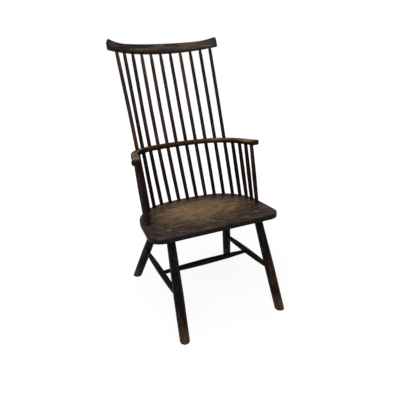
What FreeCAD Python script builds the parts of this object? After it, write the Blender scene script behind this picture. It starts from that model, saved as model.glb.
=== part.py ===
"""A comb-back windsor armchair, built stick by stick.

Millimetres. +Z is up, the sitter faces -Y, and the origin is on the floor under the middle of the
chair's overall box. Left and right are the sitter's own when seen in the picture plane from the
front: left is -X, right is +X.
"""
import FreeCAD, Part

import math
import os

import Sketcher
from FreeCAD import Placement, Rotation, Vector

SIZES = [
    ("middle", 6.29, "origin to the plane of the middle stick, which a longer left hand puts off centre"),
    ("seat_height", 400, "floor to the flat of the seat"),
    ("seat_thickness", 34, "the plank"),
    ("seat_left_width", 291, "middle to the left side, drawn on to the front edge"),
    ("seat_right_width", 281, "middle to the right side, drawn on to the front edge"),
    ("seat_front", 261, "origin to the front edge"),
    ("seat_back", 121, "origin to the back edge"),
    ("seat_back_radius", 721, "the shallow curve of the back edge"),
    ("seat_rear_corner_radius", 195, "the long rear corners"),
    ("seat_front_corner_radius", 55, "the front corners"),
    ("seat_left_flare", 4, "degrees that the left side opens towards the front"),
    ("seat_right_flare", 1.5, "degrees that the right side opens towards the front"),
    ("seat_top_bevel", 3, "eased edge round the top of the seat"),
    ("seat_edge", 19.5, "height of the seat's upright edge"),
    ("seat_bevel_reach", 32, "how far in the bevel beneath the edge runs"),
    ("dish_depth", 6, "the hollow shaved in the seat"),
    ("dish_long_radius", 4000, "curve of the hollow from side to side"),
    ("dish_short_radius", 1500, "curve of the hollow from front to back"),
    ("dish_centre", 78, "origin forward to the deepest point"),
    ("front_leg_top_spread", 391, "between the front leg axes at the seat top"),
    ("front_leg_top_reach", 190.5, "origin forward to the front leg axes at the seat top"),
    ("front_leg_foot_spread", 441, "between the front leg axes at the floor"),
    ("front_leg_foot_reach", 355.5, "origin forward to the front leg axes at the floor"),
    ("rear_leg_top_spread", 313.5, "between the rear leg axes at the seat top"),
    ("rear_leg_top_reach", 16, "origin back to the rear leg axes at the seat top"),
    ("rear_leg_foot_spread", 513.5, "between the rear leg axes at the floor"),
    ("rear_leg_foot_reach", 211.5, "origin back to the rear left leg axis at the floor"),
    ("rear_right_foot_short", 22, "how much less the rear right leg rakes back"),
    ("rear_right_foot_in", 14, "how much less the rear right leg splays out"),
    ("front_right_foot_short", 10, "how much less the front right leg reaches forward"),
    ("leg_top_flats", 30.5, "across the flats of a leg below the seat"),
    ("leg_swell_flats", 38, "across the flats of a leg where it is fullest"),
    ("leg_foot_flats", 36, "across the flats of a leg at the floor"),
    ("leg_swell_height", 175, "along the leg, floor to its fullest place"),
    ("leg_tenon_diameter", 26, "a leg's round tenon through the seat"),
    ("leg_shoulder_gap", 0.3, "between a leg's shoulder and the seat's underside"),
    ("wedge_top", 4, "thickness of a leg wedge at the seat's top"),
    ("wedge_tip", 0.8, "thickness of a leg wedge at its thin end"),
    ("wedge_length", 27, "how deep a leg wedge is driven"),
    ("left_stretcher_front", 155, "height of the left side stretcher's axis at the front leg"),
    ("left_stretcher_rear", 164, "height of the left side stretcher's axis at the rear leg"),
    ("right_stretcher_front", 167, "height of the right side stretcher's axis at the front leg"),
    ("right_stretcher_rear", 149, "height of the right side stretcher's axis at the rear leg"),
    ("stretcher_end_diameter", 18, "a side stretcher where it enters a leg"),
    ("stretcher_swell_diameter", 27.5, "a side stretcher at its middle"),
    ("stretcher_quarter_diameter", 25, "a side stretcher half way from its end to its middle"),
    ("middle_end_diameter", 17, "the middle stretcher where it enters a side stretcher"),
    ("middle_swell_diameter", 28.5, "the middle stretcher at its middle"),
    ("middle_quarter_diameter", 25.5, "the middle stretcher half way from its end to its middle"),
    ("middle_place", 0.52, "place of the middle stretcher along the side ones, from the rear"),
    ("tenon_stop", 3, "from the crossed axis to a stretcher tenon's end"),
    ("stick_line_radius_back", 728, "the row of sticks on the seat: its back curve"),
    ("stick_line_sweep_back", 9.3, "degrees of that curve on each side"),
    ("stick_line_radius_corner", 156.5, "the row of sticks on the seat: its corners"),
    ("stick_line_sweep_corner", 74.4, "degrees of each corner"),
    ("stick_line_radius_side", 885, "the row of sticks on the seat: its sides"),
    ("stick_line_inset", 18.5, "from the seat's back edge to the row of sticks"),
    ("seat_back_pitch", 44.8, "from one long stick to the next on the seat"),
    ("seat_side_pitch", 39.5, "from one arm stick to the next on the seat"),
    ("arm_height", 643.5, "floor to the middle of the arm bow at its back"),
    ("arm_back", 206, "origin back to the middle of the arm bow"),
    ("arm_rise", 4.2, "degrees that the bow climbs towards the front"),
    ("arm_roll", 0.3, "degrees that its right hand end stands higher"),
    ("arm_radius_back", 440, "the bow's back curve"),
    ("arm_sweep_back", 14, "degrees of that curve on each side"),
    ("arm_radius_corner", 187.5, "the bow's tight bends"),
    ("arm_sweep_corner", 60.5, "degrees of each tight bend"),
    ("arm_radius_side", 485, "the bow's sides"),
    ("arm_back_pitch", 47.2, "from one long stick to the next along the bow"),
    ("arm_side_pitch", 44.3, "from one arm stick to the next along the bow"),
    ("arm_width", 30, "the bow's width, seen from above"),
    ("arm_thickness", 21, "the bow's thickness"),
    ("arm_edge_bevel", 3, "the bevel of its long edges"),
    ("left_hand_sweep", 24, "how far the left hand end turns outwards"),
    ("right_hand_sweep", 8, "how far the right hand end turns outwards"),
    ("hand_widening", 6, "how much wider a hand end is than the bow"),
    ("hand_corner_round", 10, "rounding of a hand end's corners, seen from above"),
    ("left_hand_length", 74, "from the last stick to the left hand end"),
    ("right_hand_length", 29, "from the last stick to the right hand end"),
    ("comb_height", 1049, "floor to the middle of the comb's underside"),
    ("comb_back", 351.6, "origin back to the middle of the comb's underside"),
    ("comb_lean", 19, "degrees that the comb leans back"),
    ("comb_radius", 362, "the comb's curve, on the line of sticks"),
    ("comb_pitch", 47.8, "from one stick to the next along the comb"),
    ("comb_thickness", 22, "the comb, front to back"),
    ("comb_middle_rise", 43.5, "underside to the crest's highest point"),
    ("comb_shoulder_rise", 32.5, "underside to the low place beside the crest"),
    ("comb_shoulder_reach", 168, "middle of the comb to that low place"),
    ("comb_ear_rise", 30, "underside level to the top of an ear"),
    ("comb_ear_length", 16, "the rounded corner of an ear"),
    ("comb_end_drop", 12, "how far the underside falls at the ends"),
    ("comb_reach_left", 266, "middle of the comb to its left end"),
    ("comb_reach_right", 251, "middle of the comb to its right end"),
    ("comb_front_bevel", 3.2, "eased front edges of the comb"),
    ("comb_back_bevel", 3, "eased back edges of the comb"),
    ("long_stick_seat_diameter", 16.4, "a long stick in the seat"),
    ("long_stick_lower_diameter", 18, "a long stick half way from the seat to the arm bow"),
    ("long_stick_arm_diameter", 16.8, "a long stick in the arm bow"),
    ("long_stick_upper_diameter", 16.6, "a long stick at its fullest, above the arm bow"),
    ("long_stick_neck_diameter", 15.8, "a long stick just below the comb, where its tenon begins"),
    ("long_stick_comb_diameter", 13.4, "a long stick in the comb"),
    ("arm_stick_end_diameter", 16.8, "an arm stick at either end"),
    ("arm_stick_swell_diameter", 19.6, "an arm stick at its fullest"),
    ("comb_tenon_show", 10, "how far below its mark a stick's tenon in the comb begins"),
    ("seat_socket_depth", 22, "a stick's socket in the seat"),
    ("comb_socket_depth", 26, "a stick's socket in the comb"),
    ("socket_bottom_gap", 2, "between a stick's end and the bottom of its socket"),
    ("socket_clearance", 0.3, "all round a stick or tenon in its hole"),
    ("bore_overrun", 14, "how far a drill starts outside the wood"),
    ("shaved_sides", 12, "flats that the shave leaves round a stick or stretcher"),
    ("bore_sides", 10, "flats left by a drill, all of them outside its radius"),
]

LONG_STICKS_EACH_SIDE = 5
ARM_STICKS_EACH_SIDE = 4
UP = Vector(0, 0, 1)

doc = FreeCAD.newDocument("WindsorChair")
sheet = doc.addObject("Spreadsheet::Sheet", "Sizes")
for row, (alias, number, note) in enumerate(SIZES, start=1):
    sheet.set("A%d" % row, alias)
    sheet.set("B%d" % row, str(number))
    sheet.set("C%d" % row, note)
    sheet.setAlias("B%d" % row, alias)
doc.recompute()


def size(alias):
    """The number in the sheet's cell of that alias."""
    return float(sheet.get(alias))


# Places and directions


def toward(start, end):
    """A placement at start whose own Z points to end."""
    return Placement(start, Rotation(UP, end - start))


def between(start, end, share):
    """The point at that share of the way from start to end."""
    return start + (end - start) * share


class BentLine:
    """Half of a bow in plan: tangent arcs from the origin along +X, turning towards -Y."""

    def __init__(self, arcs):
        self.arcs = arcs

    def centres(self):
        """For each arc: its centre, its radius, and the headings (radians) where it starts and ends."""
        rows, point, heading = [], Vector(0, 0, 0), 0.0
        for radius, sweep in self.arcs:
            centre = point - Vector(math.sin(heading), math.cos(heading), 0) * radius
            end = heading + math.radians(sweep)
            rows.append((centre, radius, heading, end))
            point = centre + Vector(math.sin(end), math.cos(end), 0) * radius
            heading = end
        return rows

    def at(self, distance, sideways=0.0):
        """The point that far along the line, moved outwards by sideways, and the heading there."""
        for centre, radius, start, end in self.centres():
            heading = start + distance / radius
            if heading <= end:
                break
            distance -= radius * (end - start)
        return centre + Vector(math.sin(heading), math.cos(heading), 0) * (radius + sideways), heading


def mirrored(point, side):
    """The point on the given side: 1 is right, -1 is left."""
    return Vector(side * point.x, point.y, point.z)


# Sketches and bodies


def new_body(name, placement=None):
    """An empty body, placed."""
    body = doc.addObject("PartDesign::Body", name)
    if placement:
        body.Placement = placement
    return body


def plane_of(body, role):
    """One of a body's own origin planes."""
    return next(plane for plane in body.Origin.OriginFeatures if plane.Role == role)


def new_sketch(body, name, offset=None, role="XY_Plane"):
    """A sketch on one of the body's origin planes, moved off it by offset."""
    sketch = body.newObject("Sketcher::SketchObject", name)
    sketch.AttachmentSupport = [(plane_of(body, role), "")]
    sketch.MapMode = "FlatFace"
    if offset:
        sketch.AttachmentOffset = offset
    return sketch


def bind(sketch, constraint, expression):
    """Adds a constraint to the sketch and ties its value to the sheet."""
    index = sketch.addConstraint(constraint)
    sketch.setExpression("Constraints[%d]" % index, expression)


def polygon_section(body, name, sides, radius, expression, offset):
    """A regular polygon with its corners at the radius, which the expression gives again."""
    sketch = new_sketch(body, name, offset)
    step = 2 * math.pi / sides
    points = [
        Vector(radius * math.cos(step * (turn - 0.5)), radius * math.sin(step * (turn - 0.5)), 0)
        for turn in range(sides)
    ]
    for turn in range(sides):
        sketch.addGeometry(Part.LineSegment(points[turn], points[(turn + 1) % sides]), False)
    sketch.addGeometry(Part.Circle(Vector(0, 0, 0), UP, radius), True)
    sketch.addConstraint(Sketcher.Constraint("Coincident", sides, 3, -1, 1))
    for turn in range(sides):
        sketch.addConstraint(Sketcher.Constraint("Coincident", turn, 2, (turn + 1) % sides, 1))
        sketch.addConstraint(Sketcher.Constraint("PointOnObject", turn, 1, sides))
    for turn in range(sides - 1):
        sketch.addConstraint(Sketcher.Constraint("Equal", turn, turn + 1))
    sketch.addConstraint(Sketcher.Constraint("Vertical", 0))
    bind(sketch, Sketcher.Constraint("Radius", sides, radius), expression)
    return sketch


def round_section(body, name, alias, offset):
    """The shaved round of a stick or rail: a many-sided polygon in a circle of the named diameter."""
    return polygon_section(body, name, int(size("shaved_sides")), size(alias) / 2, "Sizes.%s / 2" % alias, offset)


def octagon_section(body, name, alias, offset):
    """A regular octagon whose width across the flats is the named size."""
    radius = size(alias) / 2 / math.cos(math.pi / 8)
    return polygon_section(body, name, 8, radius, "Sizes.%s / 2 / cos(180 / 8)" % alias, offset)


def loft(body, name, sections):
    """A straight-sided loft through the sections, in order."""
    feature = body.newObject("PartDesign::AdditiveLoft", name)
    feature.Profile = (sections[0], [""])
    feature.Sections = [(section, [""]) for section in sections[1:]]
    feature.Ruled = True
    return feature


def pad(body, name, sketch, expression):
    """A pad of the sketch, as long as the expression says."""
    feature = body.newObject("PartDesign::Pad", name)
    feature.Profile = sketch
    feature.setExpression("Length", expression)
    doc.recompute()
    return feature


def dress_edges(body, kind, name, base, edges, expression):
    """A fillet or chamfer of the numbered edges."""
    feature = body.newObject("PartDesign::" + kind, name)
    feature.Base = (base, ["Edge%d" % index for index in edges])
    feature.setExpression("Radius" if kind == "Fillet" else "Size", expression)
    doc.recompute()
    return feature


def edges_at(shape, test):
    """Numbers of the shape's edges all of whose points pass the test."""
    found = []
    for index, edge in enumerate(shape.Edges, start=1):
        ends = edge.discretize(5)
        if all(test(point) for point in ends):
            found.append(index)
    return found


# Holes and cuts


def drill(name, radius, height, placement):
    """A many-sided drill whose radius, to its flats, and height are expressions."""
    tool = doc.addObject("Part::Prism", name)
    tool.setExpression("Polygon", "Sizes.bore_sides")
    tool.setExpression("Circumradius", "(%s) / cos(180 / Sizes.bore_sides)" % radius)
    tool.setExpression("Height", height)
    tool.Placement = placement
    return tool


def gather(name, objects):
    """The objects as one compound."""
    group = doc.addObject("Part::Compound", name)
    group.Links = objects
    return group


def cut(name, base, tool):
    """The base less the tool."""
    result = doc.addObject("Part::Cut", name)
    result.Base = base
    result.Tool = tool
    return result


def common(name, first, second):
    """What the two share."""
    result = doc.addObject("Part::Common", name)
    result.Base = first
    result.Tool = second
    return result


# Where the sticks stand

stick_line = BentLine([
    (size("stick_line_radius_back"), size("stick_line_sweep_back")),
    (size("stick_line_radius_corner"), size("stick_line_sweep_corner")),
    (size("stick_line_radius_side"), 180),
])
arm_line = BentLine([
    (size("arm_radius_back"), size("arm_sweep_back")),
    (size("arm_radius_corner"), size("arm_sweep_corner")),
    (size("arm_radius_side"), 180),
])
stick_line_start = Vector(size("middle"), size("seat_back") - size("stick_line_inset"), size("seat_height"))
arm_frame = Placement(
    Vector(size("middle"), size("arm_back"), size("arm_height")),
    Rotation(Vector(0, 1, 0), -size("arm_roll")) * Rotation(Vector(1, 0, 0), -size("arm_rise")),
)
comb_frame = Placement(
    Vector(size("middle"), size("comb_back"), size("comb_height")),
    Rotation(Vector(1, 0, 0), -size("comb_lean")),
)


def along(number, back_pitch, side_pitch):
    """Distance from the middle stick to the stick of that number, along a bent line."""
    back = min(number, LONG_STICKS_EACH_SIDE)
    return back * size(back_pitch) + (number - back) * size(side_pitch)


def seat_point(number, side):
    """Where a stick enters the seat."""
    point, _ = stick_line.at(along(number, "seat_back_pitch", "seat_side_pitch"))
    return stick_line_start + mirrored(point, side)


def arm_point(number, side):
    """Where a stick crosses the middle of the arm bow."""
    point, _ = arm_line.at(along(number, "arm_back_pitch", "arm_side_pitch"))
    return arm_frame.multVec(mirrored(point, side))


def comb_point(number, side):
    """Where a long stick enters the comb's underside."""
    turn = number * size("comb_pitch") / size("comb_radius")
    radius = size("comb_radius")
    return comb_frame.multVec(Vector(side * radius * math.sin(turn), -radius * (1 - math.cos(turn)), 0))


class Spring:
    """The curve of a long stick, sprung through its seat, arm and comb points."""

    def __init__(self, number, side):
        self.seat = seat_point(number, side)
        self.arm = arm_point(number, side)
        self.comb = comb_point(number, side)
        self.arc = Part.ArcOfCircle(self.seat, self.arm, self.comb)
        self.circle = self.arc.Circle

    def place(self, point, beyond=0.0):
        """A placement on the curve at the point, or beyond it, with Z along the stick."""
        parameter = self.arc.parameter(point) + beyond / self.circle.Radius
        return self.frame(parameter)

    def share(self, start, end, share):
        """A placement on the curve at that share of the way between two of its points."""
        return self.frame(self.arc.parameter(start) * (1 - share) + self.arc.parameter(end) * share)

    def frame(self, parameter):
        """The placement at that parameter of the curve."""
        return Placement(self.circle.value(parameter), Rotation(UP, self.circle.tangent(parameter)[0]))


# The seat


def seat_side(width, flare):
    """One side of the seat, as on the right: centres of its rear and front corners, and their headings."""
    front, back = -size("seat_front"), size("seat_back")
    back_radius, rear, fore = (
        size("seat_back_radius"), size("seat_rear_corner_radius"), size("seat_front_corner_radius")
    )
    inward = Vector(-math.cos(flare), -math.sin(flare), 0)
    backward = Vector(-math.sin(flare), math.cos(flare), 0)
    edge = Vector(width, front, 0)
    back_centre = Vector(0, back - back_radius, 0)
    offset = edge + inward * rear - back_centre
    reach = offset.dot(backward)
    travel = -reach + math.sqrt(reach ** 2 - offset.dot(offset) + (back_radius - rear) ** 2)
    rear_centre = edge + inward * rear + backward * travel
    fore_centre = Vector(width + (fore + fore * math.sin(flare)) / inward.x, front + fore, 0)
    joint = math.atan2(rear_centre.y - back_centre.y, rear_centre.x)
    return rear_centre, fore_centre, inward, joint


def seat_outline(sketch):
    """Draws the D of the seat: back arc, rear corners, flared sides, front corners, front edge."""
    front, back = -size("seat_front"), size("seat_back")
    back_radius, rear, fore = (
        size("seat_back_radius"), size("seat_rear_corner_radius"), size("seat_front_corner_radius")
    )
    right = seat_side(size("seat_right_width"), math.radians(size("seat_right_flare")))
    left = seat_side(size("seat_left_width"), math.radians(size("seat_left_flare")))
    circle = Part.Circle(Vector(0, back - back_radius, 0), UP, back_radius)
    sketch.addGeometry(Part.ArcOfCircle(circle, right[3], math.pi - left[3]), False)
    for side, (rear_centre, fore_centre, inward, joint) in ((1, right), (-1, left)):
        rear_circle = Part.Circle(mirrored(rear_centre, side), UP, rear)
        fore_circle = Part.Circle(mirrored(fore_centre, side), UP, fore)
        start = mirrored(rear_centre - inward * rear, side)
        end = mirrored(fore_centre - inward * fore, side)
        square = math.atan2(-inward.y, -inward.x)
        if side > 0:
            sketch.addGeometry(Part.ArcOfCircle(rear_circle, square, joint), False)
            sketch.addGeometry(Part.LineSegment(start, end), False)
            sketch.addGeometry(Part.ArcOfCircle(fore_circle, -math.pi / 2, square), False)
        else:
            sketch.addGeometry(Part.ArcOfCircle(rear_circle, math.pi - joint, math.pi - square), False)
            sketch.addGeometry(Part.LineSegment(start, end), False)
            sketch.addGeometry(Part.ArcOfCircle(fore_circle, math.pi - square, 1.5 * math.pi), False)
    sketch.addGeometry(
        Part.LineSegment(Vector(right[1].x, front, 0), Vector(-left[1].x, front, 0)), False
    )
    back_arc, right_rear, right_side, right_fore, left_rear, left_side, left_fore, front_edge = range(8)
    tangent = [
        (back_arc, 1, right_rear, 2), (right_rear, 1, right_side, 1), (right_side, 2, right_fore, 2),
        (right_fore, 1, front_edge, 1), (back_arc, 2, left_rear, 1), (left_rear, 2, left_side, 1),
        (left_side, 2, left_fore, 1), (left_fore, 2, front_edge, 2),
    ]
    for joint_of_two in tangent:
        sketch.addConstraint(Sketcher.Constraint("Tangent", *joint_of_two))
    bind(sketch, Sketcher.Constraint("Radius", back_arc, back_radius), "Sizes.seat_back_radius")
    for arc in (right_rear, left_rear):
        bind(sketch, Sketcher.Constraint("Radius", arc, rear), "Sizes.seat_rear_corner_radius")
    for arc in (right_fore, left_fore):
        bind(sketch, Sketcher.Constraint("Radius", arc, fore), "Sizes.seat_front_corner_radius")
    sketch.addConstraint(Sketcher.Constraint("PointOnObject", back_arc, 3, -2))
    bind(
        sketch, Sketcher.Constraint("DistanceY", front_edge, 1, -1, 1, -front), "Sizes.seat_front"
    )
    bind(
        sketch, Sketcher.Constraint("DistanceY", back_arc, 3, -1, 1, back_radius - back),
        "Sizes.seat_back_radius - Sizes.seat_back",
    )


def build_seat(leg_drills, stick_drills):
    """The plank, rounded, bevelled and dished, with its mortises and sockets."""
    body = new_body("seat_plank")
    body.setExpression("Placement.Base.x", "Sizes.middle")
    body.setExpression("Placement.Base.z", "Sizes.seat_height")
    outline = new_sketch(body, "seat_outline", Placement(Vector(0, 0, -size("seat_thickness")), Rotation()))
    outline.setExpression("AttachmentOffset.Base.z", "-Sizes.seat_thickness")
    seat_outline(outline)
    plank = pad(body, "seat_pad", outline, "Sizes.seat_thickness")
    thickness = size("seat_thickness")
    under = edges_at(plank.Shape, lambda point: abs(point.z + thickness) < 1e-6)
    bevelled = dress_edges(
        body, "Chamfer", "seat_under_edge", plank, under, "Sizes.seat_thickness - Sizes.seat_edge"
    )
    bevelled.ChamferType = "Two distances"
    bevelled.setExpression("Size2", "Sizes.seat_bevel_reach")
    doc.recompute()
    top = edges_at(bevelled.Shape, lambda point: abs(point.z) < 1e-6)
    dress_edges(body, "Chamfer", "seat_top_edge", bevelled, top, "Sizes.seat_top_bevel")
    dish = body.newObject("PartDesign::SubtractiveTorus", "seat_dish")
    dish.AttachmentSupport = [(plane_of(body, "XY_Plane"), "")]
    dish.MapMode = "FlatFace"
    dish.AttachmentOffset = Placement(Vector(0, 0, 0), Rotation(Vector(1, 0, 0), 90))
    dish.setExpression("AttachmentOffset.Base.y", "-Sizes.dish_centre")
    dish.setExpression("AttachmentOffset.Base.z", "Sizes.dish_long_radius - Sizes.dish_depth")
    dish.setExpression("Radius1", "Sizes.dish_long_radius - Sizes.dish_short_radius")
    dish.setExpression("Radius2", "Sizes.dish_short_radius")
    doc.recompute()
    return cut("seat", body, gather("seat_holes", leg_drills + stick_drills))


# The legs

LEGS = {
    "front_leg_left": ("front", -1),
    "front_leg_right": ("front", 1),
    "rear_leg_left": ("rear", -1),
    "rear_leg_right": ("rear", 1),
}


def leg_axis(name):
    """A leg's axis: its point on the floor and its point at the seat's top."""
    end, side = LEGS[name]
    forward = -1 if end == "front" else 1
    foot_reach, foot_out = size(end + "_leg_foot_reach"), size(end + "_leg_foot_spread") / 2
    if name == "rear_leg_right":
        foot_reach -= size("rear_right_foot_short")
        foot_out -= size("rear_right_foot_in")
    if name == "front_leg_right":
        foot_reach -= size("front_right_foot_short")
    foot = Vector(size("middle") + side * foot_out, forward * foot_reach, 0)
    top = Vector(
        size("middle") + side * size(end + "_leg_top_spread") / 2,
        forward * size(end + "_leg_top_reach"),
        size("seat_height"),
    )
    return foot, top


def leg_point(name, height):
    """The point of a leg's axis at that height."""
    foot, top = leg_axis(name)
    return between(foot, top, height / size("seat_height"))


def tenon_foot(leg):
    """A placement on the leg's axis, well under the seat, with Z along the leg."""
    foot, top = leg_axis(leg)
    placement = toward(foot, top)
    placement.Base = between(foot, top, 1 - (size("seat_thickness") + size("bore_overrun")) / size("seat_height"))
    return placement


TENON_REACH = "1.2 * (Sizes.seat_thickness + 2 * Sizes.bore_overrun)"


def peg(name, leg):
    """A leg's tenon, too long at both ends."""
    pin = doc.addObject("Part::Cylinder", name)
    pin.setExpression("Radius", "Sizes.leg_tenon_diameter / 2")
    pin.setExpression("Height", TENON_REACH)
    pin.Placement = tenon_foot(leg)
    return pin


def wedge_prism(name, leg, clearance):
    """The tapered slip driven into a tenon, thin end down, across the seat's grain."""
    foot, top = leg_axis(leg)
    upward = (top - foot).normalize()
    across = Vector(1, 0, 0) - upward * upward.x
    across.normalize()
    turn = Rotation(across, upward, across.cross(upward), "YXZ")
    slope = (size("wedge_top") - size("wedge_tip")) / size("wedge_length")
    above, below = size("wedge_top"), 5 * clearance
    half_top = size("wedge_top") / 2 + slope * above / 2 + clearance
    half_tip = size("wedge_tip") / 2 - slope * below / 2 + clearance
    prism = doc.addObject("Part::Wedge", name)
    prism.Ymin, prism.Ymax = -size("wedge_length") - below, above
    prism.Xmin, prism.Xmax = -half_tip, half_tip
    prism.X2min, prism.X2max = -half_top, half_top
    prism.Zmin, prism.Zmax = -size("leg_tenon_diameter"), size("leg_tenon_diameter")
    prism.Z2min, prism.Z2max = -size("leg_tenon_diameter"), size("leg_tenon_diameter")
    prism.Placement = Placement(top, turn)
    return prism


def slab(name, bottom, height):
    """A wide slab of space between two levels, given as expressions."""
    box = doc.addObject("Part::Box", name)
    box.setExpression("Length", "4 * Sizes.seat_front")
    box.setExpression("Width", "4 * Sizes.seat_front")
    box.setExpression("Height", height)
    box.setExpression("Placement.Base.x", "-2 * Sizes.seat_front")
    box.setExpression("Placement.Base.y", "-2 * Sizes.seat_front")
    box.setExpression("Placement.Base.z", bottom)
    return box


def build_leg(name, under_seat, in_seat, mortises):
    """One leg: an eight-sided shaft, cut to the floor and the seat, with its wedged tenon."""
    foot, top = leg_axis(name)
    length = (top - foot).Length
    body = new_body(name + "_shaft", toward(foot, top))
    stations = (
        ("foot", "leg_foot_flats", -size("leg_foot_flats")),
        ("swell", "leg_swell_flats", size("leg_swell_height")),
        ("top", "leg_top_flats", length),
    )
    sections = [
        octagon_section(body, "%s_%s" % (name, place), alias, Placement(Vector(0, 0, height), Rotation()))
        for place, alias, height in stations
    ]
    loft(body, name + "_loft", sections)
    shaft = common(name + "_below", body, under_seat)
    tenon = common(name + "_tenon", peg(name + "_peg", name), in_seat)
    whole = doc.addObject("Part::MultiFuse", name + "_whole")
    whole.Shapes = [shaft, tenon]
    kerf = wedge_prism(name + "_kerf", name, size("socket_clearance") / 2)
    return cut(name, whole, gather(name + "_holes", mortises + [kerf]))


def build_wedge(name, leg, in_seat):
    """One wedge, as wide as the tenon and flush with the seat."""
    wedge = doc.addObject("Part::MultiCommon", name)
    wedge.Shapes = [
        wedge_prism(name + "_slip", leg, 0),
        peg(name + "_round", leg),
        in_seat,
    ]
    return wedge


# The stretchers


def build_rail(name, start, end, kind, first_neck, last_neck):
    """A swelling rail between two crossed axes, with a round tenon at each end."""
    body = new_body(name + "_rail", toward(start, end))
    length = (end - start).Length
    stop = size("tenon_stop")
    stations = (
        ("first_end", "_end_diameter", stop), ("first_neck", "_end_diameter", first_neck),
        ("first_quarter", "_quarter_diameter", length / 4), ("swell", "_swell_diameter", length / 2),
        ("last_quarter", "_quarter_diameter", length * 3 / 4),
        ("last_neck", "_end_diameter", length - last_neck), ("last_end", "_end_diameter", length - stop),
    )
    sections = [
        round_section(body, "%s_%s" % (name, place), kind + part, Placement(Vector(0, 0, height), Rotation()))
        for place, part, height in stations
    ]
    loft(body, name + "_loft", sections)
    return body


def mortise(name, start, toward_point, end_alias):
    """The drill for a rail's tenon, from the crossed axis outwards."""
    placement = toward(start, toward_point)
    placement.Base = start + (toward_point - start).normalize() * (size("tenon_stop") - 1)
    return drill(
        name, "Sizes.%s / 2 + Sizes.socket_clearance" % end_alias,
        "Sizes.leg_swell_flats / 2 + Sizes.bore_overrun", placement,
    )


# The arm bow


def hand_end(side):
    """Length of the bow's line from the middle to the given hand end."""
    last = LONG_STICKS_EACH_SIDE + ARM_STICKS_EACH_SIDE
    return along(last, "arm_back_pitch", "arm_side_pitch") + size(
        "right_hand_length" if side > 0 else "left_hand_length"
    )


def arm_outline(sketch):
    """Draws the bow in plan, both faces and a widened hand end each side; returns the ends' corners."""
    half = size("arm_width") / 2
    last = LONG_STICKS_EACH_SIDE + ARM_STICKS_EACH_SIDE
    widen_from = along(last - 1, "arm_back_pitch", "arm_side_pitch")
    (back, corner, bend) = arm_line.centres()
    joints, hand_corners = [], []
    for sideways, word in ((half, " + Sizes.arm_width / 2"), (-half, " - Sizes.arm_width / 2")):
        circle = Part.Circle(back[0], UP, back[1] + sideways)
        index = sketch.addGeometry(
            Part.ArcOfCircle(circle, math.pi / 2 - back[3], math.pi / 2 + back[3]), False
        )
        bind(sketch, Sketcher.Constraint("Radius", index, back[1] + sideways), "Sizes.arm_radius_back" + word)
        joints.append(index)
    for side in (1, -1):
        end = hand_end(side)
        sweep = size("right_hand_sweep" if side > 0 else "left_hand_sweep")
        ends = []
        for sideways, stop, word, middle in (
            (half, widen_from, " + Sizes.arm_width / 2", joints[0]),
            (-half, widen_from, " - Sizes.arm_width / 2", joints[1]),
        ):
            _, heading = arm_line.at(stop)
            previous, previous_end = middle, 1 if side > 0 else 2
            for (centre, radius, start, finish), alias in ((corner, "arm_radius_corner"), (bend, "arm_radius_side")):
                finish = min(finish, heading)
                angles = (math.pi / 2 - finish, math.pi / 2 - start)
                if side < 0:
                    angles = (math.pi - angles[1], math.pi - angles[0])
                circle = Part.Circle(mirrored(centre, side), UP, radius + sideways)
                index = sketch.addGeometry(Part.ArcOfCircle(circle, *angles), False)
                near, far = (2, 1) if side > 0 else (1, 2)
                sketch.addConstraint(Sketcher.Constraint("Coincident", previous, previous_end, index, near))
                bind(sketch, Sketcher.Constraint("Radius", index, radius + sideways), "Sizes." + alias + word)
                previous, previous_end = index, far
            ends.append((previous, previous_end))
        corners = []
        for sideways, reach, last_arc in (
            (half, half + sweep + size("hand_widening"), ends[0]), (-half, sweep - half, ends[1])
        ):
            start, heading = arm_line.at(widen_from, sideways)
            rim_end = arm_line.at(end, reach)[0]
            points = [mirrored(point, side) for point in (start, tangent_middle(start, heading, rim_end), rim_end)]
            rim = sketch.addGeometry(Part.ArcOfCircle(*points), False)
            join_nearest(sketch, rim, last_arc, points[0])
            corners.append((rim, points[2]))
        (outer_rim, outer), (inner_rim, inner) = corners
        nose = sketch.addGeometry(Part.LineSegment(outer, inner), False)
        join_nearest(sketch, nose, (outer_rim, end_at(sketch, outer_rim, outer)), outer)
        join_nearest(sketch, nose, (inner_rim, end_at(sketch, inner_rim, inner)), inner)
        hand_corners += [outer, inner]
    return hand_corners


def tangent_middle(start, heading, end):
    """The middle of the arc that leaves start at that heading (clockwise from +X) and reaches end."""
    chord = end - start
    turn = math.atan2(-chord.y, chord.x) - heading
    sag = chord.Length / 2 * math.tan(turn / 2)
    return between(start, end, 0.5) + Vector(-chord.y, chord.x, 0).normalize() * sag


def end_at(sketch, index, point):
    """Which end of a sketch's arc lies at the point: 1 is its start, 2 is its end."""
    return 1 if (sketch.getPoint(index, 1) - point).Length < (sketch.getPoint(index, 2) - point).Length else 2


def join_nearest(sketch, index, other, point):
    """Makes the end of the arc that lies at the point coincide with the other arc's end."""
    sketch.addConstraint(Sketcher.Constraint("Coincident", index, end_at(sketch, index, point), *other))


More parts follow.
